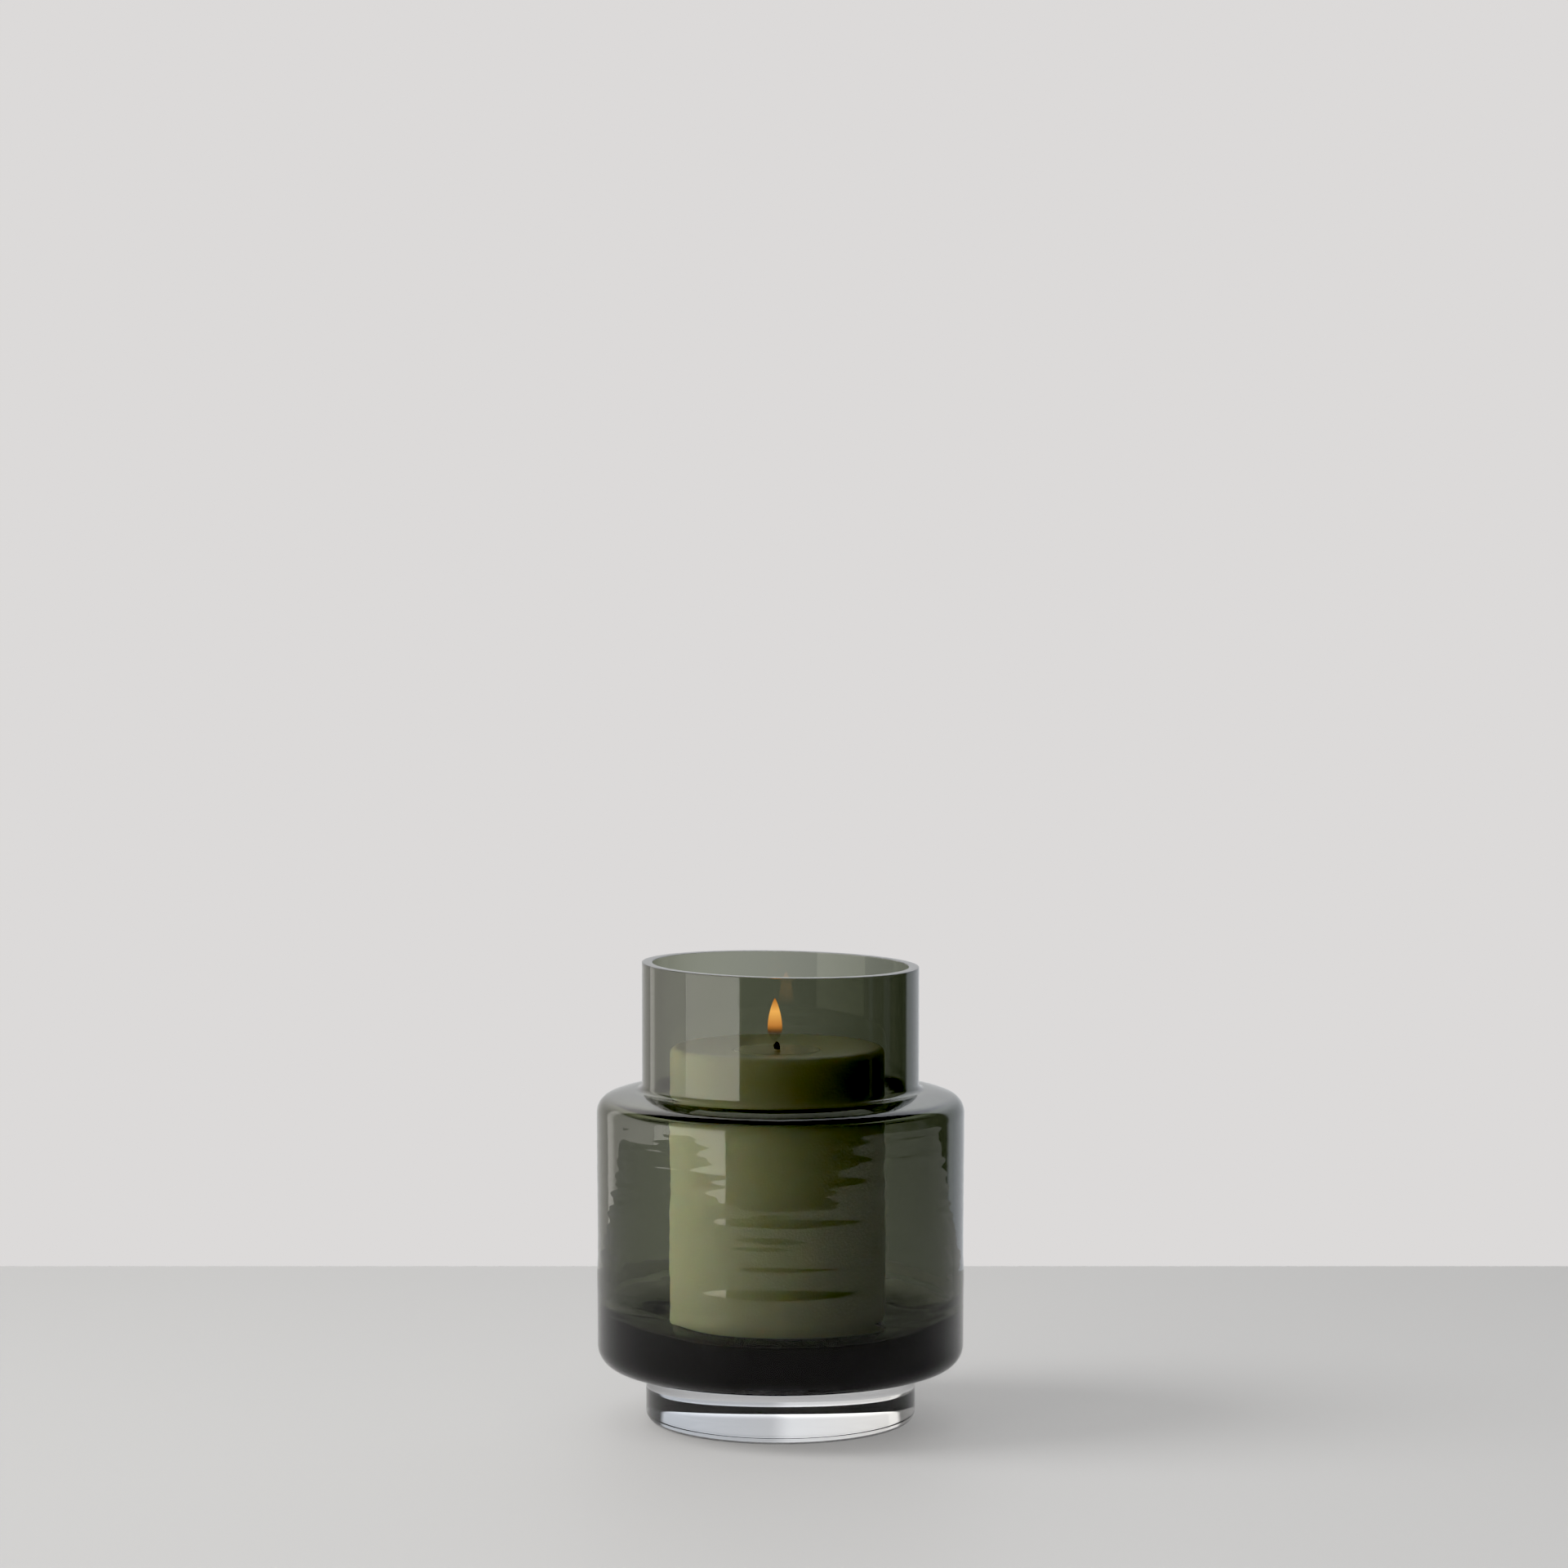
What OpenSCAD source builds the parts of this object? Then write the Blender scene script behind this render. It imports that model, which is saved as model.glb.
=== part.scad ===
// Glass hurricane candle holder: a blown, smoked vessel fused to a clear solid foot,
// with a pillar candle standing loose on the vessel's floor.
// Millimetres. +Z is up, and the origin is the centre of the foot's flat base.

/* [Candle] */
// Diameter of the pillar candle
candle_d = 99; // [60:1:130]
// Height of the pillar candle
candle_h = 131; // [50:1:180]
// Distance that the candle stands off the holder's axis, towards +X
candle_x = -1.5; // [-3:0.1:3]
// Radius of the candle's softened upper edge
candle_edge_r = 3.5; // [1:0.5:6]
// Radius of the candle's lower edge
candle_base_r = 1.5; // [0.5:0.5:4]
// Width of the unmelted ring around the dish in the candle's top
dish_rim_w = 8; // [6:0.5:16]
// Depth of the dish that the flame has melted
dish_depth = 2.6; // [1.2:0.1:5]
// Diameter of the pool of liquid wax lying in the dish
pool_d = 40; // [16:1:44]
// Depth of the pool
pool_depth = 1.6; // [1:0.1:4]
// Radius of the pool's lower edge
pool_edge_r = 0.8; // [0.3:0.1:0.9]

/* [Wick] */
// Diameter of the wick
wick_d = 2.6; // [1.6:0.1:4]
// Length of straight wick standing above the pool
wick_stand_h = 0.6; // [0.4:0.1:6]
// Radius to which the burnt end of the wick curls over
wick_curl_r = 2.2; // [2.2:0.1:6]
// Angle through which the burnt end curls towards -X, in degrees
wick_curl = 55; // [0:5:90]
// Diameter of the sustainer's tab
tab_d = 20; // [12:1:30]
// Thickness of the sustainer's tab
tab_t = 0.6; // [0.3:0.1:1]
// Height of the sustainer's collar above its tab
collar_h = 6; // [3:0.5:10]
// Wall thickness of the sustainer's collar
collar_wall = 0.5; // [0.3:0.1:1]

/* [Vessel] */
// Gap all round between the candle and the neck's bore
candle_gap = 9.5; // [5:0.5:25]
// Wall thickness of the neck
neck_wall = 4.8; // [3:0.2:8]
// Height of the neck above the crown of the shoulder, measured on the axis
neck_h = 57.5; // [30:0.5:90]
// Slope of the hand-cut rim, in degrees: its -X side is the high one
rim_slope = 1.1; // [0:0.1:2]
// Radius of the fillet where the shoulder meets the neck
neck_root_r = 3; // [1:0.5:6]
// Distance that the body stands out beyond the neck
shoulder_w = 21.2; // [14:0.2:40]
// Radius of the tight curve where the side turns into the shoulder
shoulder_r = 9; // [8.5:0.5:12]
// How far round that curve goes before the flatter crown takes over, in degrees
shoulder_turn = 70; // [60:1:80]
// Height of the body's straight side, from the underside to the start of the shoulder
side_h = 117; // [70:1:180]
// Wall thickness of the body and the shoulder
body_wall = 5; // [3:0.5:8]
// Thickness of the solid glass below the inner floor
base_t = 17; // [8:0.5:30]
// Radius of the body's lower outside corner
base_corner_r = 10; // [4:0.5:16]
// Radius of the hollow's lower corner
floor_corner_r = 12; // [4:0.5:14]

/* [Foot] */
// Distance from the body's side in to the foot's side
foot_inset = 22.8; // [17:0.2:40]
// Height of the clear foot
foot_h = 25.5; // [15:0.5:40]
// Radius of the foot's lower edge
foot_corner_r = 5; // [1:0.5:8]

/* [Hidden] */

$fn = 96;
dish_fn = 720; // the dish's circle is large, and only a short stretch of it is used
far = 400; // longer than anything that it cuts

// Radii, worked outwards from the candle
candle_r = candle_d / 2;
neck_in_r = candle_r + candle_gap;
neck_r = neck_in_r + neck_wall;
body_r = neck_r + shoulder_w;
foot_r = body_r - foot_inset;

// The shoulder is two tangent arcs: a tight one rising from the side, and a wide crown
// that comes level above the neck's outer wall. They meet on the line through both centres.
tight_x = body_r - shoulder_r;
crown_r = shoulder_r + (tight_x - neck_r) / cos(shoulder_turn);

// Heights, worked up from the table
floor_z = foot_h + base_t;
side_top_z = foot_h + side_h;
crown_z = side_top_z - (crown_r - shoulder_r) * sin(shoulder_turn);
rim_z = crown_z + crown_r + neck_h;
rim_spare = neck_r * sin(rim_slope) + 2; // neck left above the cut before the rim is made

// The dish is a shallow bowl cut from a large sphere, and the pool's surface lies where that
// bowl is pool_d wide.
candle_top_z = floor_z + candle_h;
dish_r = candle_r - dish_rim_w;
sphere_r = (dish_r * dish_r + dish_depth * dish_depth) / (2 * dish_depth);
sphere_z = candle_top_z - dish_depth + sphere_r;
pool_r = pool_d / 2;
pool_z = sphere_z - sqrt(sphere_r * sphere_r - pool_r * pool_r);

wick_r = wick_d / 2;
wick_low_z = floor_z + tab_t;
wick_curl_z = pool_z + wick_stand_h;
tab_r = tab_d / 2;
collar_r = wick_r + collar_wall;

// Outline of a straight-sided body of radius r from height low to high,
// with its lower corner rounded to corner_r
module rounded_side(r, low, high, corner_r) {
    translate([0, low]) square([r - corner_r, high - low]);
    translate([0, low + corner_r]) square([r, high - low - corner_r]);
    translate([r - corner_r, low + corner_r]) circle(corner_r);
}

// Outline of the shoulder, drawn in by wall, and of a neck of radius mouth_r rising from it.
// root_r blends the two: it is a fillet outside and the easing of the neck's root inside.
module shoulder_and_neck(wall, mouth_r, root_r) {
    wide_r = crown_r - wall;
    root_x = mouth_r + root_r - neck_r;
    root_z = sqrt(pow(wide_r + root_r, 2) - pow(root_x, 2));
    reach = wide_r / (wide_r + root_r);
    translate([tight_x, side_top_z]) circle(shoulder_r - wall);
    translate([neck_r, crown_z]) intersection() {
        circle(wide_r, $fn = 2 * $fn);
        polygon([[0, 0], [far * cos(shoulder_turn), far * sin(shoulder_turn)], [0, far]]);
    }
    translate([neck_r, crown_z]) difference() {
        polygon([
            [mouth_r - neck_r - 1, 0], [root_x * reach, 0], [root_x * reach, root_z * reach],
            [root_x, root_z], [mouth_r - neck_r - 1, root_z]
        ]);
        translate([root_x, root_z]) circle(root_r);
    }
    translate([0, side_top_z - 1]) square([mouth_r, rim_z + rim_spare - side_top_z + 1]);
}

module glass_vessel() {
    color([0.27, 0.29, 0.22]) difference() {
        rotate_extrude() {
            rounded_side(body_r, foot_h, side_top_z, base_corner_r);
            shoulder_and_neck(0, neck_r, neck_root_r);
        }
        rotate_extrude() {
            rounded_side(body_r - body_wall, floor_z, side_top_z, floor_corner_r);
            shoulder_and_neck(body_wall, neck_in_r, neck_root_r + body_wall);
        }
        translate([0, 0, rim_z]) rotate([0, rim_slope, 0])
            translate([-far / 2, -far / 2, 0]) cube(far);
    }
}

module clear_foot() {
    color([0.88, 0.91, 0.90]) rotate_extrude()
        rounded_side(foot_r, 0, foot_h, foot_corner_r);
}

// Outline of the pool, whose surface is level with the dish around it
module pool_outline() {
    rounded_side(pool_r, pool_z - pool_depth, pool_z, pool_edge_r);
}

// The wick's own shape, from the sustainer's tab to its curled, burnt end
module wick_shape() {
    translate([0, 0, wick_low_z]) cylinder(r = wick_r, h = wick_curl_z - wick_low_z);
    translate([-wick_curl_r, 0, wick_curl_z]) rotate([90, 0, 0])
        rotate_extrude(angle = wick_curl) translate([wick_curl_r, 0]) circle(wick_r);
}

module sustainer_shape() {
    translate([0, 0, floor_z]) cylinder(r = tab_r, h = tab_t);
    translate([0, 0, floor_z + tab_t]) cylinder(r = collar_r, h = collar_h);
}

module pillar_candle() {
    color([0.93, 0.91, 0.83]) translate([candle_x, 0, 0]) difference() {
        rotate_extrude() difference() {
            union() {
                rounded_side(candle_r, floor_z, candle_top_z - candle_edge_r, candle_base_r);
                translate([candle_r - candle_edge_r, candle_top_z - candle_edge_r])
                    circle(candle_edge_r);
                translate([0, candle_top_z - candle_edge_r])
                    square([candle_r - candle_edge_r, candle_edge_r]);
            }
            translate([0, sphere_z]) circle(sphere_r, $fn = dish_fn);
            pool_outline();
        }
        sustainer_shape();
        translate([0, 0, floor_z]) cylinder(r = wick_r, h = candle_h);
    }
}

module melt_pool() {
    color([0.97, 0.95, 0.86]) translate([candle_x, 0, 0]) rotate_extrude() difference() {
        pool_outline();
        translate([0, pool_z - far / 2]) square([wick_r, far]);
    }
}

module candle_wick() {
    color([0.16, 0.14, 0.12]) translate([candle_x, 0, 0]) wick_shape();
}

module wick_sustainer() {
    color([0.72, 0.73, 0.75]) translate([candle_x, 0, 0]) difference() {
        sustainer_shape();
        translate([0, 0, wick_low_z]) cylinder(r = wick_r, h = collar_h + 1);
    }
}

glass_vessel();
clear_foot();
pillar_candle();
melt_pool();
candle_wick();
wick_sustainer();
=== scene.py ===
"""A smoked glass hurricane on a clear foot, with a lit pillar candle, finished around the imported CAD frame.

Metres throughout, in the frame's own axes.
"""

import math
import random

import bmesh
import bpy
from mathutils import Matrix, Vector, noise


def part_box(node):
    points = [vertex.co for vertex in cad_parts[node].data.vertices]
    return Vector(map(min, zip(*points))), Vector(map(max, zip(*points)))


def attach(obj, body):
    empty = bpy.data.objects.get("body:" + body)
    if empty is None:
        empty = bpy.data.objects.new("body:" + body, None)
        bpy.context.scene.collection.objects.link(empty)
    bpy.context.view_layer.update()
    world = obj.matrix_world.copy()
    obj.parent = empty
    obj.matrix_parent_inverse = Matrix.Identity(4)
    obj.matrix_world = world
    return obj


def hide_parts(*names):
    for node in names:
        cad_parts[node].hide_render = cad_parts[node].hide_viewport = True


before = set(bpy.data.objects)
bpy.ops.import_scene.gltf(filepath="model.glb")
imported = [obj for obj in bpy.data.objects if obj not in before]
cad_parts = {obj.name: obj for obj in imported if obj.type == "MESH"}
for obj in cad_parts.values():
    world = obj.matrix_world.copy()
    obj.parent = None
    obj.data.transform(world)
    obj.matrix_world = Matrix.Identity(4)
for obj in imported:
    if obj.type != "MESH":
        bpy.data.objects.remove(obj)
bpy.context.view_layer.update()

MM = 0.001

# ---------------------------------------------------------------- sizes read from the frame

foot_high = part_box("clear_foot")[1]
vessel_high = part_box("glass_vessel")[1]
candle_low, candle_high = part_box("pillar_candle")
pool_low, pool_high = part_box("melt_pool")
wick_low, wick_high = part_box("candle_wick")
tab_low, tab_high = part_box("wick_sustainer")

FOOT_R = foot_high.x
FOOT_TOP = foot_high.z
BODY_R = vessel_high.x
CANDLE_X = (candle_low.x + candle_high.x) / 2
CANDLE_R = (candle_high.x - candle_low.x) / 2
CANDLE_TOP = candle_high.z
FLOOR_Z = candle_low.z
POOL_R = (pool_high.x - pool_low.x) / 2
POOL_Z = pool_high.z
POOL_LOW = pool_low.z
WICK_R = wick_high.x - CANDLE_X
WICK_LOW = wick_low.z
WICK_TOP = wick_high.z
TAB_R = (tab_high.x - tab_low.x) / 2

# ---------------------------------------------------------------- sizes of the glass

NECK_WALL = 4.8 * MM
BODY_WALL = 5 * MM
NECK_R = BODY_R - 21.2 * MM
SIDE_TOP = FOOT_TOP + 117 * MM
SHOULDER_R = 9 * MM
SHOULDER_TURN = math.radians(70)
TIGHT_X = BODY_R - SHOULDER_R
CROWN_R = SHOULDER_R + (TIGHT_X - NECK_R) / math.cos(SHOULDER_TURN)
CROWN_Z = SIDE_TOP - (CROWN_R - SHOULDER_R) * math.sin(SHOULDER_TURN)
NECK_ROOT_R = 3 * MM
BASE_CORNER_R = 10 * MM
FLOOR_CORNER_R = 12 * MM
FOOT_CORNER_R = 5 * MM
RIM_SLOPE = math.tan(math.radians(1.1))
RIM_Z = vessel_high.z - NECK_R * RIM_SLOPE
LIP_OUTER_R = 0.35 * MM
LIP_INNER_R = 0.4 * MM
SIDE_TAPER = 0.006          # how much narrower the side is at its foot, as a share of its radius
FUSED = 0.05 * MM           # how far the clear foot runs into the smoked glass
PUNT_R = 52 * MM            # the foot is ground a little hollow inside this radius
PUNT_Z = 0.25 * MM
PUNT_SPHERE_R = (PUNT_R ** 2 + PUNT_Z ** 2) / (2 * PUNT_Z)
SEAT_GAP = 0.15 * MM        # air between the candle and the glass that it stands on
GLASS_TURNS = 220           # steps round the axis in the glass
INNER_R = BODY_R - BODY_WALL
HOLLOW_CORNER_Z = FLOOR_Z + FLOOR_CORNER_R

# Waves in the body's glass: depth, how fast they change round the axis, height of one change, and seed
OUTER_WAVES = ((0.125 * MM, 2.2, 60 * MM, 0), (0.07 * MM, 1.3, 5 * MM, 415), (0.024 * MM, 1.8, 2 * MM, 419))
INNER_WAVES = ((0.25 * MM, 2.2, 60 * MM, 0),) + OUTER_WAVES[1:]
INNER_RINGS = (0.07 * MM, 5, 5 * MM, 0)
INNER_TEETH = (0.05 * MM, 9, 2.6 * MM, 0)       # only high in the body
DRAWN_RINGS = ((71 * MM, 5 * MM, 0.058), (83.3 * MM, 1.4 * MM, 0.018))      # height, width and lean
CORNER_RING_R = 60 * MM     # rings round the hollow's lower corner are drawn about this circle
CORNER_RING_DEPTH = 0.9 * MM
SEEDS = 26                  # tiny bubbles
SEEDS_IN_WALL = 0.4         # their share in the wall, with the rest in the thick base

# ---------------------------------------------------------------- sizes of the candle

EDGE_R = 3.5 * MM
BASE_EDGE_R = 1.5 * MM
DISH_R = CANDLE_R - 8 * MM
DISH_DEPTH = 2.6 * MM
WAX_TURNS = 160
WICK_BEND_R = 2.2 * MM
WICK_BEND = math.radians(55)
WICK_TURNS = 22             # turns of the three strands round each other, from end to end
FLAME_H = 20 * MM
FLAME_R = 3.35 * MM
FLAME_LEAN = 1.1 * MM       # how far the flame stands off the candle's axis, towards -X


# ---------------------------------------------------------------- meshes

def arc(centre, radius, start, stop, steps=12):
    """Points of an arc in a lathe outline, as (distance from the axis, height)."""
    angles = [start + (stop - start) * i / steps for i in range(steps + 1)]
    return [(centre[0] + radius * math.cos(a), centre[1] + radius * math.sin(a)) for a in angles]


def line(start, stop, step):
    """Points of a straight stretch between two outline points, both left out, at most step apart."""
    count = max(1, math.ceil(math.dist(start, stop) / step))
    return [
        (start[0] + (stop[0] - start[0]) * i / count, start[1] + (stop[1] - start[1]) * i / count)
        for i in range(1, count)
    ]


def joined(*stretches, step):
    """One outline from several, with straight lines between them. Step may be a list, one for each gap."""
    steps = step if isinstance(step, list) else [step] * (len(stretches) - 1)
    outline = list(stretches[0])
    for stretch, spacing in zip(stretches[1:], steps):
        outline += line(outline[-1], stretch[0], spacing) + list(stretch)
    return outline


def lathe(outline, turns, closed=False):
    """A bmesh turned from an outline round the Z axis. A closed outline makes a ring."""
    bm = bmesh.new()
    verts = [bm.verts.new((r, 0, z)) for r, z in outline]
    for a, b in zip(verts, verts[1:] + verts[:1] if closed else verts[1:]):
        bm.edges.new((a, b))
    bmesh.ops.spin(
        bm, geom=bm.verts[:] + bm.edges[:], cent=(0, 0, 0), axis=(0, 0, 1),
        angle=math.tau, steps=turns, use_merge=True,
    )
    bmesh.ops.remove_doubles(bm, verts=bm.verts[:], dist=1e-7)
    bmesh.ops.recalc_face_normals(bm, faces=bm.faces[:])
    return bm


def add_piece(name, bm, body, finish, replaces=None):
    """A finished, smooth-shaded piece from a bmesh, riding on its body."""
    for face in bm.faces:
        face.smooth = True
    mesh = bpy.data.meshes.new(name)
    bm.to_mesh(mesh)
    bm.free()
    mesh.materials.append(finish)
    piece = bpy.data.objects.new(name, mesh)
    bpy.context.scene.collection.objects.link(piece)
    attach(piece, body)
    if replaces:
        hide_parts(replaces)
    return piece


def smoothstep(value, low, high):
    """0 below low, 1 above high, and a smooth curve between them."""
    t = min(1.0, max(0.0, (value - low) / (high - low)))
    return t * t * (3 - 2 * t)


# ---------------------------------------------------------------- shader maths

class Value:
    """A socket that Python's operators do maths on."""

    def __init__(self, nodes, socket):
        self.nodes = nodes
        self.socket = socket

    def __add__(self, other):
        return self.nodes.maths("ADD", self, other)

    __radd__ = __add__

    def __mul__(self, other):
        return self.nodes.maths("MULTIPLY", self, other)

    __rmul__ = __mul__

    def __sub__(self, other):
        return self.nodes.maths("SUBTRACT", self, other)

    def __rsub__(self, other):
        return self.nodes.maths("SUBTRACT", other, self)

    def __neg__(self):
        return self.nodes.maths("MULTIPLY", self, -1.0)


class Nodes:
    """The nodes of a material or of the world."""

    def __init__(self, owner):
        owner.use_nodes = True
        self.tree = owner.node_tree
        self.tree.nodes.clear()

    def plug(self, socket, value):
        if isinstance(value, Value):
            self.tree.links.new(value.socket, socket)
        elif value is not None:
            socket.default_value = value

    def node(self, kind, settings=None, inputs=None, output=0):
        """Adds a node, sets it up, fills its sockets and gives one of its outputs."""
        new = self.tree.nodes.new(kind)
        for key, value in (settings or {}).items():
            if key != "stops":
                setattr(new, key, value)
                continue
            while len(new.color_ramp.elements) < len(value):
                new.color_ramp.elements.new(0)
            for element, (place, colour) in zip(new.color_ramp.elements, value):
                element.position = place
                element.color = (*colour, 1)
        for key, value in (inputs or {}).items():
            self.plug(new.inputs[key], value)
        return None if output is None else Value(self, new.outputs[output])

    def maths(self, operation, first, second=None):
        return self.node("ShaderNodeMath", {"operation": operation}, {0: first, 1: second})

    def split(self, vector):
        """The x, y and z of a vector."""
        parts = self.node("ShaderNodeSeparateXYZ", inputs={0: vector}).socket.node
        return [Value(self, output) for output in parts.outputs]

    def place(self):
        return self.node("ShaderNodeTexCoord", output="Object")

    def stretch(self, point, factors):
        return self.node("ShaderNodeVectorMath", {"operation": "MULTIPLY"}, {0: point, 1: factors})

    def grain(self, point, scale, detail=2.0, roughness=0.5):
        """Noise from 0 to 1."""
        return self.node(
            "ShaderNodeTexNoise",
            inputs={"Vector": point, "Scale": scale, "Detail": detail, "Roughness": roughness},
        )

    def ramp(self, value, low, high, low_out=0.0, high_out=1.0):
        """Goes smoothly from low_out to high_out as value goes from low to high."""
        return self.node(
            "ShaderNodeMapRange", {"interpolation_type": "SMOOTHSTEP"},
            {"Value": value, "From Min": low, "From Max": high, "To Min": low_out, "To Max": high_out},
        )

    def band(self, value, low, high, soft):
        """1 between low and high and 0 outside, with edges as wide as soft."""
        rise = self.ramp(value, low - soft / 2, low + soft / 2)
        return rise * self.ramp(value, high - soft / 2, high + soft / 2, 1.0, 0.0)

    def blend(self, share, first, second):
        """A colour that is share of the way from first to second."""
        sockets = {0: share, 6: first, 7: second}
        for key, value in sockets.items():
            if isinstance(value, tuple):
                sockets[key] = (*value, 1)
        return self.node("ShaderNodeMix", {"data_type": "RGBA"}, sockets, output=2)

    def bump(self, height, distance):
        return self.node("ShaderNodeBump", inputs={"Height": height, "Distance": distance})

    def principled(self, **inputs):
        inputs = {key.replace("_", " "): value for key, value in inputs.items()}
        return self.node("ShaderNodeBsdfPrincipled", inputs=inputs)

    def finish(self, surface, volume=None):
        self.node("ShaderNodeOutputMaterial", inputs={"Surface": surface, "Volume": volume}, output=None)


# ---------------------------------------------------------------- materials

def new_material(name):
    made = bpy.data.materials.new(name)
    return made, Nodes(made)


def glass(name, tint, density, ripple):
    """Blown glass. Tint and density set the colour that its depth gives to the light passing through."""
    made, nodes = new_material(name)
    waves = nodes.grain(nodes.stretch(nodes.place(), (1, 1, 3)), 30)    # flatter than they are wide
    surface = nodes.principled(
        Base_Color=(1, 1, 1, 1), Roughness=0.0, IOR=1.5, Transmission_Weight=1.0,
        Normal=nodes.bump(waves, ripple),
    )
    depth = nodes.node("ShaderNodeVolumeAbsorption", inputs={"Color": (*tint, 1), "Density": density})
    nodes.finish(surface, depth)
    return made


def wax():
    """Ivory wax: softly mottled and glossier near the top, with painted shade that darkens its colour towards
    the top.
    """
    made, nodes = new_material("wax")
    point = nodes.place()
    height = nodes.split(point)[2]
    mottle = nodes.grain(point, 60, 4.0)
    fine = nodes.grain(point, 900, 3.0)
    warm = nodes.blend(mottle, (0.80, 0.78, 0.62), (0.86, 0.84, 0.70))
    # Painted shade: this mask darkens the base colour towards the top of the candle, standing in for shade
    # there, and also lowers the roughness there.
    top_shade_and_gloss = nodes.ramp(height, CANDLE_TOP - 32 * MM, CANDLE_TOP - 10 * MM)
    surface = nodes.principled(
        # The darker colour (0.60, 0.58, 0.42) near the top is painted shade, not the wax's own colour.
        Base_Color=nodes.blend(top_shade_and_gloss, warm, (0.60, 0.58, 0.42)),
        Roughness=0.5 - top_shade_and_gloss * 0.2 + mottle * 0.1,
        Normal=nodes.bump(fine + mottle, 0.15 * MM),
        Subsurface_Weight=0.5, Subsurface_Radius=(1.0, 0.7, 0.4), Subsurface_Scale=6 * MM,
        IOR=1.44,
    )
    nodes.finish(surface)
    return made


def liquid_wax():
    made, nodes = new_material("liquid_wax")
    cloud = nodes.grain(nodes.place(), 80, 3.0)
    surface = nodes.principled(
        Base_Color=nodes.blend(cloud, (0.76, 0.72, 0.54), (0.82, 0.78, 0.60)),
        Roughness=0.06, IOR=1.44, Normal=nodes.bump(cloud, 0.05 * MM),
    )
    nodes.finish(surface)
    return made


def cotton():
    """Wick cotton, waxed below and charred black where it has burnt."""
    made, nodes = new_material("wick")
    point = nodes.place()
    height = nodes.split(point)[2]
    fibre = nodes.grain(point, 2500, 3.0)
    charred = nodes.ramp(height, POOL_Z - 0.5 * MM, POOL_Z + 0.8 * MM)
    surface = nodes.principled(
        Base_Color=nodes.blend(charred, (0.75, 0.68, 0.50), (0.012, 0.010, 0.009)),
        Roughness=0.9 - fibre * 0.2, Normal=nodes.bump(fibre, 0.2 * MM),
    )
    nodes.finish(surface)
    return made


def tinplate():
    made, nodes = new_material("tinplate")
    brushed = nodes.grain(nodes.stretch(nodes.place(), (1, 1, 8)), 500, 3.0)
    surface = nodes.principled(
        Base_Color=nodes.blend(brushed, (0.55, 0.56, 0.58), (0.68, 0.69, 0.70)),
        Metallic=1.0, Roughness=0.25 + brushed * 0.2, Normal=nodes.bump(brushed, 0.02 * MM),
    )
    nodes.finish(surface)
    return made


def flame_light(low, high):
    """The flame's glow: nearly clear at its foot, then amber, and red at its tip."""
    made, nodes = new_material("flame")
    height = nodes.split(nodes.place())[2]
    share = nodes.node("ShaderNodeMapRange", inputs={"Value": height, "From Min": low, "From Max": high})
    colour = nodes.node(
        "ShaderNodeValToRGB",
        {"stops": [
            (0.0, (0.03, 0.01, 0.01)), (0.22, (0.10, 0.03, 0.01)), (0.38, (0.60, 0.24, 0.07)),
            (0.7, (1.0, 0.50, 0.15)), (1.0, (0.50, 0.16, 0.04)),
        ]},
        {0: share},
    )
    surface = nodes.principled(
        Base_Color=(0, 0, 0, 1), Roughness=1.0, Specular_IOR_Level=0.0,
        Emission_Color=colour, Emission_Strength=2.6,
        Alpha=nodes.ramp(share, 0.1, 0.4, 0.0, 0.95),
    )
    nodes.finish(surface)
    return made


# ---------------------------------------------------------------- the glass

def shoulder_outline(wall, mouth_r, root_r):
    """From the top of the side, over the shoulder, to the foot of a neck of radius mouth_r."""
    wide = CROWN_R - wall
    root_x = mouth_r + root_r - NECK_R
    lean = math.acos(root_x / (wide + root_r))
    root = (mouth_r + root_r, CROWN_Z + (wide + root_r) * math.sin(lean))
    return (
        arc((TIGHT_X, SIDE_TOP), SHOULDER_R - wall, 0, SHOULDER_TURN, 16)
        + arc((NECK_R, CROWN_Z), wide, SHOULDER_TURN, lean, 12)[1:]
        + arc(root, root_r, lean + math.pi, math.pi, 10)
    )


def vessel_outline():
    """Up the outside of the vessel from the middle of its base, over the lip and down the inside."""
    bore_r = NECK_R - NECK_WALL
    corner = (BODY_R - BASE_CORNER_R, FOOT_TOP + BASE_CORNER_R)
    hollow = (INNER_R - FLOOR_CORNER_R, HOLLOW_CORNER_Z)
    quarter = math.pi / 2
    outside = joined(
        [(0, FOOT_TOP)], arc(corner, BASE_CORNER_R, -quarter, 0),
        shoulder_outline(0, NECK_R, NECK_ROOT_R),
        arc((NECK_R - LIP_OUTER_R, RIM_Z - LIP_OUTER_R), LIP_OUTER_R, 0, quarter, 6),
        step=[4 * MM, 0.9 * MM, 1.5 * MM],
    )
    inside = joined(
        [(0, FLOOR_Z)], arc(hollow, FLOOR_CORNER_R, -quarter, 0),
        shoulder_outline(BODY_WALL, bore_r, NECK_ROOT_R + BODY_WALL),
        arc((bore_r + LIP_INNER_R, RIM_Z - LIP_INNER_R), LIP_INNER_R, math.pi, quarter, 6),
        step=[4 * MM, 1.2 * MM, 2 * MM],
    )
    return outside + inside[::-1]


def wave(turn, z, depth, round_rate, rise, seed):
    """How far a wave in the glass stands out at one place. Turn is the direction out from the axis."""
    return depth * noise.noise(turn * round_rate + Vector((seed, 0, z / rise)))


def blown_share(z):
    """1 up the body's side, fading to 0 at the hollow's lower corner and in the shoulder."""
    above_corner = smoothstep(z, HOLLOW_CORNER_Z, HOLLOW_CORNER_Z + 2 * FLOOR_CORNER_R)
    return above_corner * (1 - smoothstep(z, SIDE_TOP, SIDE_TOP + 8 * MM))


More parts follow.
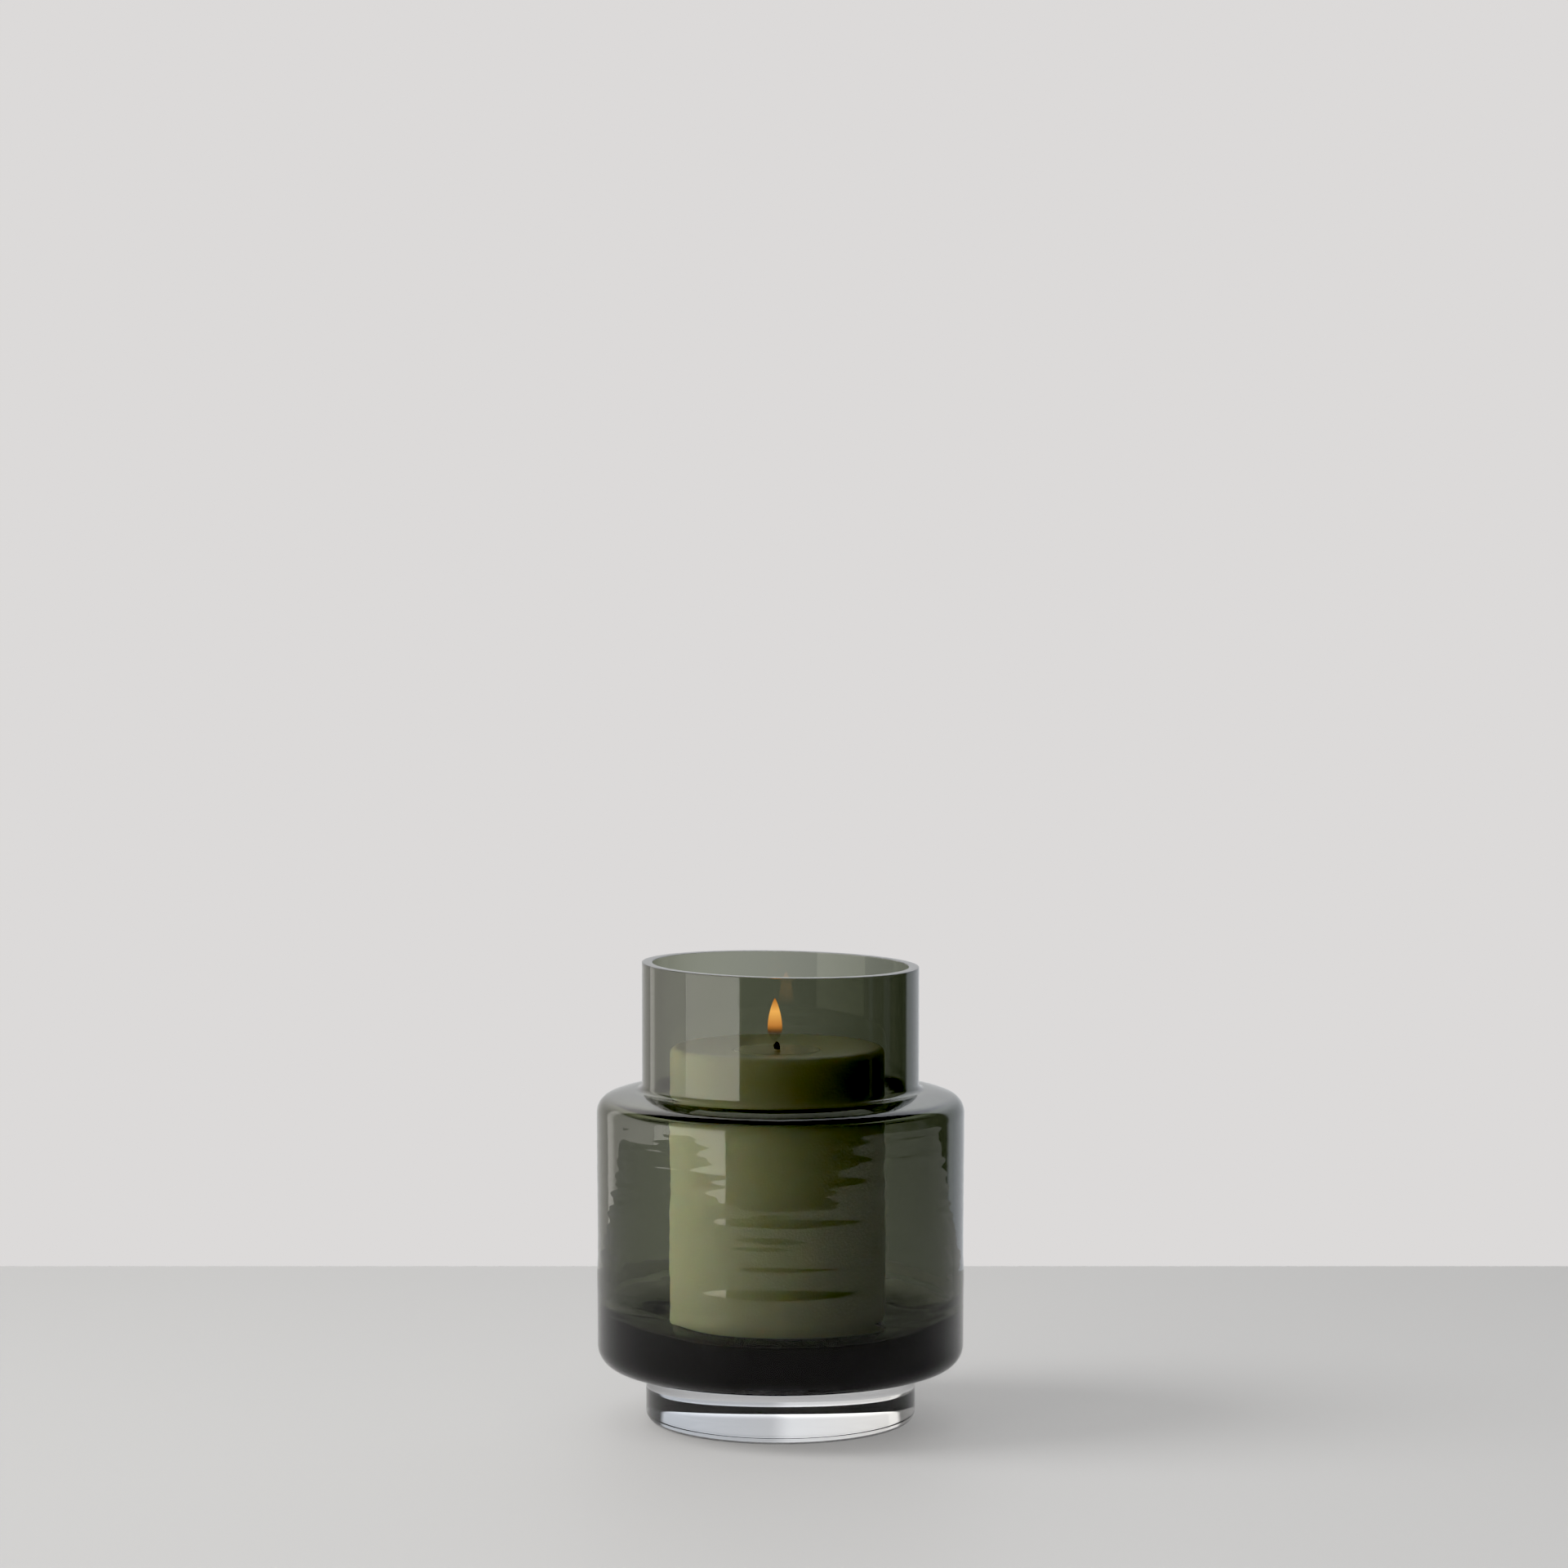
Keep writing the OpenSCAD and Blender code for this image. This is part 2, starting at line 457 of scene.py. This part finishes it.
def swelling(turn, z, inside):
    """How far the blown wall stands out from its turned shape."""
    swell = sum(wave(turn, z, *each) for each in (INNER_WAVES if inside else OUTER_WAVES))
    for ring_z, width, lean in DRAWN_RINGS:
        swell -= lean * width * math.erf((z - ring_z) / width)
    body = blown_share(z)
    if inside:
        upper = smoothstep(z, SIDE_TOP - 45 * MM, SIDE_TOP - 15 * MM)
        swell += body * (wave(turn, z, *INNER_RINGS) + upper * wave(turn, z, *INNER_TEETH))
    return body * swell


def corner_ring(turn, radius, z):
    """How far in the rings round the hollow's lower corner draw the glass."""
    fade = 1 - smoothstep(z, HOLLOW_CORNER_Z, HOLLOW_CORNER_Z + FLOOR_CORNER_R)
    fade *= smoothstep(radius, CORNER_RING_R, CORNER_RING_R + 10 * MM)
    around = 7 * math.atan2(z - FLOOR_Z, radius - CORNER_RING_R)
    return CORNER_RING_DEPTH * noise.noise(turn * 0.7 + Vector((0, 5, around))) * fade


def blow(bm):
    """Gives the turned vessel what the blower's hand gave it: waves, rings, a taper and a sloping rim."""
    for vert in bm.verts:
        x, y, z = vert.co
        radius = math.hypot(x, y)
        if radius < MM:
            continue
        turn = Vector((x, y, 0)) / radius
        inside = radius < INNER_R + 0.5 * MM and z > FLOOR_Z - MM
        taper = 1 - SIDE_TAPER * (1 - smoothstep(z, FOOT_TOP, SIDE_TOP))
        share = taper + swelling(turn, z, inside) / radius
        if inside:
            share *= 1 - corner_ring(turn, radius, z) / radius
        slope = RIM_SLOPE * smoothstep(z, CROWN_Z + CROWN_R, RIM_Z - 2 * MM)
        vert.co = (x * share, y * share, z - x * slope)


def add_seeds(bm, count):
    """Leaves seeds, the tiny bubbles of hand-made glass, in the thick base and the wall."""
    draw = random.Random(7)
    for _ in range(count):
        angle = draw.uniform(0, math.tau)
        if draw.random() < SEEDS_IN_WALL:
            radius = BODY_R - draw.uniform(1.5, 3.5) * MM
            height = draw.uniform(50, 130) * MM
        else:
            radius = draw.uniform(5, 66) * MM
            height = FOOT_TOP + draw.uniform(4, 13) * MM
        place = Vector((radius * math.cos(angle), radius * math.sin(angle), height))
        size = draw.uniform(0.15, 0.45) * MM
        made = bmesh.ops.create_icosphere(
            bm, subdivisions=2, radius=size, matrix=Matrix.Translation(place)
        )
        faces = {face for vert in made["verts"] for face in vert.link_faces}
        bmesh.ops.reverse_faces(bm, faces=list(faces))


def add_vessel():
    bm = lathe(vessel_outline(), GLASS_TURNS)
    blow(bm)
    add_seeds(bm, SEEDS)
    smoked = glass("smoked_glass", (0.847, 0.852, 0.827), 1430.0, 0.004 * MM)
    add_piece("blown_vessel", bm, "holder", smoked, "glass_vessel")


def add_foot():
    corner = (FOOT_R - FOOT_CORNER_R, FOOT_CORNER_R)
    top = FOOT_TOP + FUSED
    outline = joined(
        arc((0, PUNT_Z - PUNT_SPHERE_R), PUNT_SPHERE_R, math.pi / 2, math.acos(PUNT_R / PUNT_SPHERE_R)),
        arc(corner, FOOT_CORNER_R, -math.pi / 2, 0), [(FOOT_R, top)], [(0, top)],
        step=3 * MM,
    )
    clear = glass("clear_glass", (0.9974, 0.9975, 0.9977), 850.0, 0.01 * MM)
    add_piece("foot_disc", lathe(outline, GLASS_TURNS), "holder", clear, "clear_foot")


# ---------------------------------------------------------------- the candle

def add_wax_pillar():
    """The pillar, with its worn upper edge, melted dish, and holes for the wick and its sustainer."""
    hole = WICK_R + 0.05 * MM
    sphere_r = (DISH_R ** 2 + DISH_DEPTH ** 2) / (2 * DISH_DEPTH)
    sphere_z = CANDLE_TOP - DISH_DEPTH + sphere_r
    rim_turn = math.asin(DISH_R / sphere_r)
    pool_turn = math.asin(POOL_R / sphere_r)
    base = FLOOR_Z + SEAT_GAP
    pool_floor = POOL_LOW - 0.05 * MM
    recess_r = TAB_R + 0.1 * MM
    recess_top = WICK_LOW + 0.2 * MM
    collar_hole_r = WICK_R + 0.7 * MM
    collar_hole_top = tab_high.z + 0.1 * MM
    outline = joined(
        [(recess_r, base)],
        arc((CANDLE_R - BASE_EDGE_R, base + BASE_EDGE_R), BASE_EDGE_R, -math.pi / 2, 0, 6),
        arc((CANDLE_R - EDGE_R, CANDLE_TOP - EDGE_R), EDGE_R, 0, math.pi / 2, 10),
        arc((0, sphere_z), sphere_r, rim_turn - math.pi / 2, pool_turn - math.pi / 2, 16),
        [(POOL_R, POOL_LOW + 0.6 * MM)], [(POOL_R - 1.5 * MM, pool_floor)], [(hole, pool_floor)],
        [(hole, collar_hole_top)], [(collar_hole_r, collar_hole_top)],
        [(collar_hole_r, recess_top)], [(recess_r, recess_top)],
        step=2.5 * MM,
    )
    bm = lathe(outline, WAX_TURNS, closed=True)
    for vert in bm.verts:
        x, y, z = vert.co
        radius = math.hypot(x, y)
        worn = smoothstep(z, CANDLE_TOP - 12 * MM, CANDLE_TOP - MM) * smoothstep(radius, POOL_R, DISH_R)
        drop = min(0.1 * MM, 0.35 * MM * noise.noise(Vector((x, y, 0)) / (14 * MM)))
        dent = noise.noise(Vector((x, y, z)) / (30 * MM)) * 0.15 * MM
        share = 1 + dent / radius * smoothstep(radius, CANDLE_R - 2 * MM, CANDLE_R)
        vert.co = (x * share + CANDLE_X, y * share, z + drop * worn)
    add_piece("wax_pillar", bm, "candle", wax(), "pillar_candle")


def add_pool():
    """Liquid wax, climbing a little where it meets the wick and the rim of the dish."""
    climb = 0.35 * MM
    outline = joined(
        [(WICK_R, POOL_Z + climb)], [(WICK_R + 0.4 * MM, POOL_Z + 0.3 * climb)],
        [(WICK_R + 1.2 * MM, POOL_Z)], [(POOL_R - 1.5 * MM, POOL_Z)],
        [(POOL_R, POOL_Z + 0.15 * MM)], [(POOL_R, POOL_LOW + 0.65 * MM)],
        [(POOL_R - 1.55 * MM, POOL_LOW)], [(WICK_R, POOL_LOW)],
        step=1.5 * MM,
    )
    bm = lathe(outline, 96, closed=True)
    bmesh.ops.translate(bm, verts=bm.verts[:], vec=(CANDLE_X, 0, 0))
    add_piece("wax_pool", bm, "candle", liquid_wax(), "melt_pool")


def wick_line(share):
    """A point of the wick's own centreline, and the direction in which the wick grows there."""
    straight = WICK_TOP - WICK_BEND_R * math.sin(WICK_BEND) - WICK_R * math.cos(WICK_BEND) - WICK_LOW
    along = share * (straight + WICK_BEND_R * WICK_BEND)
    if along < straight:
        return Vector((CANDLE_X, 0, WICK_LOW + along)), Vector((0, 0, 1))
    turn = (along - straight) / WICK_BEND_R
    x = CANDLE_X - WICK_BEND_R * (1 - math.cos(turn))
    z = WICK_LOW + straight + WICK_BEND_R * math.sin(turn)
    return Vector((x, 0, z)), Vector((-math.sin(turn), 0, math.cos(turn)))


def add_wick():
    """Three cotton strands twisted together, swollen where they are charred."""
    strand_r = 0.5 * WICK_R
    steps = WICK_TURNS * 12
    curve = bpy.data.curves.new("strands", "CURVE")
    curve.dimensions = "3D"
    curve.bevel_depth = strand_r
    curve.bevel_resolution = 2
    curve.use_fill_caps = True
    across = Vector((0, 1, 0))
    for strand in range(3):
        spline = curve.splines.new("POLY")
        spline.points.add(steps)
        for i, point in enumerate(spline.points):
            share = i / steps
            centre, grow = wick_line(share)
            side = across.cross(grow)
            angle = math.tau * (share * WICK_TURNS + strand / 3)
            swell = 1 + 0.25 * smoothstep(share, 0.975, 0.99)
            lay_r = swell * (WICK_R - strand_r)
            point.co = (*(centre + lay_r * (math.cos(angle) * across + math.sin(angle) * side)), 1)
            point.radius = swell
    made = bpy.data.objects.new("strands", curve)
    bpy.context.scene.collection.objects.link(made)
    bpy.context.view_layer.update()
    bm = bmesh.new()
    bm.from_mesh(made.to_mesh())
    made.to_mesh_clear()
    bpy.data.objects.remove(made)
    add_piece("braided_wick", bm, "candle", cotton(), "candle_wick")


def add_flame():
    """A small, steady flame standing over the wick, widest low down and drawn to a point."""
    low = WICK_TOP + 0.5 * MM
    steps = 24
    waist = 0.3                 # the share of the flame's height at which it is widest
    outline = [(0, low)]
    for i in range(1, steps):
        share = i / steps
        belly = math.sin(math.pi / 2 * min(1, share / waist)) ** 0.6
        point = math.cos(math.pi / 2 * max(0, share - waist) / (1 - waist)) ** 0.8
        outline.append((FLAME_R * belly * point, low + FLAME_H * share))
    bm = lathe(outline + [(0, low + FLAME_H)], 32)
    bmesh.ops.translate(bm, verts=bm.verts[:], vec=(CANDLE_X - FLAME_LEAN, 0, 0))
    add_piece("flame", bm, "candle", flame_light(low, low + FLAME_H))


def finish_sustainer():
    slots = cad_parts["wick_sustainer"].data.materials
    slots.clear()
    slots.append(tinplate())


# ---------------------------------------------------------------- camera, table and light

TABLE_BACK = 0.41           # how far behind the axis the table ends

# The edges of the room's lights, in degrees round the table from -Y, growing towards -X
SOFT_LIGHT = (34, 85)
FILL_LIGHT = (85, 138)
THIN_SLIT = (-82, -78)
WIDE_SLIT = (-103, -95)
WALL_EDGE = (126, 132)      # the pale wall behind the table fades in here, on both sides
LIGHT_TOP = (18, 24)        # where the lights fade out, in degrees above the horizon


def add_camera():
    camera = bpy.data.objects.new("camera", bpy.data.cameras.new("camera"))
    bpy.context.scene.collection.objects.link(camera)
    camera.data.sensor_width = 36
    camera.data.lens = 97.7
    camera.data.clip_end = 50
    camera.location = (0.0016, -1.95, 0.4078)
    camera.rotation_euler = (math.radians(90 - 3.34), 0, 0)     # looking a little down
    bpy.context.scene.camera = camera


def add_slab(name, low, high, height, finish):
    """A flat stage surface between two corners."""
    bm = bmesh.new()
    bmesh.ops.create_grid(bm, x_segments=1, y_segments=1, size=0.5)
    for vert in bm.verts:
        vert.co.x = low[0] if vert.co.x < 0 else high[0]
        vert.co.y = low[1] if vert.co.y < 0 else high[1]
        vert.co.z = height
    mesh = bpy.data.meshes.new(name)
    bm.to_mesh(mesh)
    bm.free()
    mesh.materials.append(finish)
    slab = bpy.data.objects.new(name, mesh)
    bpy.context.scene.collection.objects.link(slab)
    return slab


def table_paint():
    made, nodes = new_material("table_paint")
    nodes.finish(nodes.principled(Base_Color=(0.50, 0.495, 0.49, 1), Roughness=0.6, Specular_IOR_Level=0.2))
    return made


def add_table():
    """A pale table whose straight back edge shows behind the glass, on a floor of the same paint."""
    paint = table_paint()
    add_slab("table", (-1.0, -0.64), (1.1, TABLE_BACK), -0.05 * MM, paint)
    floor = add_slab("floor", (-8, -8), (8, TABLE_BACK - MM), -0.5 * MM, paint)
    floor.visible_glossy = False
    floor.visible_transmission = False
    floor.visible_diffuse = False
    floor.visible_shadow = False


def light_room():
    """A studio seen from the table: a pale wall behind, large soft lights to the left, the rest dark."""
    world = bpy.data.worlds.new("studio")
    bpy.context.scene.world = world
    nodes = Nodes(world)
    x, y, z = nodes.split(nodes.node("ShaderNodeTexCoord", output="Generated"))
    azimuth = nodes.maths("ARCTAN2", -x, -y) * (180 / math.pi)      # degrees from -Y, growing towards -X
    height = nodes.maths("ARCSINE", z) * (180 / math.pi)

    # Each of these is 1 for its own light: what the glass mirrors, what shows through the glass,
    # and what has come through the glass to fall on the wax.
    mirrored = nodes.node("ShaderNodeLightPath", output="Is Glossy Ray")
    let_through = nodes.node("ShaderNodeLightPath", output="Is Transmission Ray")
    scattered = nodes.node("ShaderNodeLightPath", output="Diffuse Depth")
    on_wax = let_through * nodes.maths("MINIMUM", scattered, 1.0)
    in_glass = nodes.maths("MAXIMUM", mirrored, let_through)

    wall = (0.70 + 1.1 * mirrored * nodes.ramp(height, 5, 40)) * (0.25 + 0.75 * in_glass)
    wall = wall * (1.0 + let_through * nodes.ramp(x, -0.06, 0.06, 0.2, -0.2))
    wall = wall * nodes.ramp(nodes.maths("ABSOLUTE", azimuth), *WALL_EDGE)
    soft_light = 3.3 * nodes.band(azimuth, *SOFT_LIGHT, 1.5) * (1.0 + 4.6 * on_wax)
    fill = nodes.ramp(azimuth, *FILL_LIGHT, 2.2, 0.9) * nodes.band(azimuth, *FILL_LIGHT, 3)
    fill = fill * (1.0 - 0.8 * let_through + 20.0 * on_wax)
    slits = 0.15 * nodes.band(azimuth, *THIN_SLIT, 1.5) + 0.12 * nodes.band(azimuth, *WIDE_SLIT, 2)
    lights = (soft_light + fill + slits) * nodes.ramp(height, *LIGHT_TOP, 1.0, 0.06)
    strength = wall + lights + 0.03 + 0.4 * on_wax

    tone = nodes.blend(nodes.ramp(x, -0.8, 0.8), (1.0, 0.97, 0.92), (0.94, 0.99, 1.06))
    room = nodes.node("ShaderNodeBackground", inputs={"Color": tone, "Strength": strength})
    backdrop = nodes.node("ShaderNodeBackground", inputs={"Color": (0.72, 0.705, 0.70, 1), "Strength": 1.0})
    straight = nodes.node("ShaderNodeLightPath", output="Is Camera Ray")
    both = nodes.node("ShaderNodeMixShader", inputs={0: straight, 1: room, 2: backdrop})
    nodes.node("ShaderNodeOutputWorld", inputs={"Surface": both}, output=None)


def light_table():
    """Two lights for the table alone: an even one from above, and one from the left for the shadow."""
    lit = bpy.data.collections.new("lit_table")
    for name in ("table", "floor"):
        lit.objects.link(bpy.data.objects[name])
    for name, place, size, power in (
        ("even_light", (-0.1, -0.5, 2.2), 2.0, 40), ("shadow_light", (-2.0, -0.2, 2.2), 1.5, 38),
    ):
        light = bpy.data.objects.new(name, bpy.data.lights.new(name, "AREA"))
        bpy.context.scene.collection.objects.link(light)
        light.data.shape = "DISK"
        light.data.size = size
        light.data.energy = power
        light.data.use_shadow = name == "shadow_light"
        light.location = place
        light.rotation_euler = Vector(place).to_track_quat("Z", "Y").to_euler()
        light.visible_camera = False
        light.visible_glossy = False
        light.visible_transmission = False
        light.light_linking.receiver_collection = lit


def set_look():
    """Plain colours with slightly deeper darks, and enough bounces for glass inside glass."""
    scene = bpy.context.scene
    scene.view_settings.view_transform = "Standard"
    scene.view_settings.use_curve_mapping = True
    scene.view_settings.curve_mapping.black_level = (0.016, 0.016, 0.016)
    scene.view_settings.curve_mapping.update()
    scene.cycles.max_bounces = 24
    scene.cycles.transmission_bounces = 24
    scene.cycles.glossy_bounces = 12
    scene.cycles.diffuse_bounces = 4


add_camera()
add_table()
light_room()
light_table()
set_look()
add_vessel()
add_foot()
add_wax_pillar()
add_pool()
add_wick()
add_flame()
finish_sustainer()
